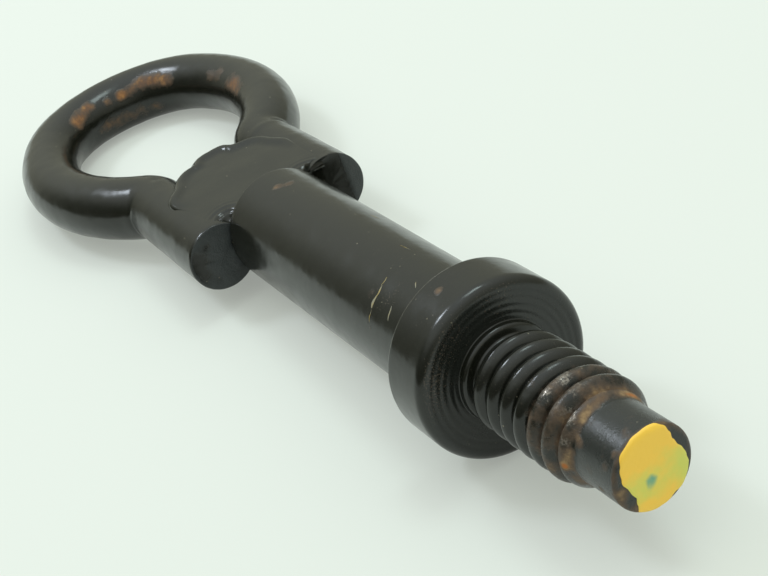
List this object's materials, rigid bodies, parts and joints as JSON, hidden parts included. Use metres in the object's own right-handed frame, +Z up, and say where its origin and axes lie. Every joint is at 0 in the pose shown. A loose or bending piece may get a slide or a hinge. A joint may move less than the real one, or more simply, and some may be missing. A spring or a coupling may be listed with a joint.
{
  "type": "screw-in towing eye",
  "caption": "Closed eye of bent round bar welded to a turned shaft with a shank, a stop collar, a coarse left-hand thread and a plain pilot nose.",
  "frame": {"origin": "on the floor under the middle of the part as it lies", "axes": "+X towards the nose, level with the floor; +Y towards the leg of the eye that is on the left seen from behind the eye; +Z up from the floor. The shaft's own axis rises 2.8 degrees towards the nose."},
  "size_m": [0.2228, 0.0636, 0.0304],
  "materials": {
    "shaft_paint": "glossy black paint on turned steel, worn and rusty on the thread's front turns",
    "bar_paint": "glossy black paint on bent steel bar, with thin rust on the inner side of the eye",
    "weld_paint": "glossy black paint over rippled weld beads"
  },
  "bodies": {
    "root": {"shaft": "shaft_paint", "eye_bar": "bar_paint", "weld_near_top": "weld_paint", "weld_far_top": "weld_paint", "weld_near_under": "weld_paint", "weld_far_under": "weld_paint"}
  },
  "joints": []
}
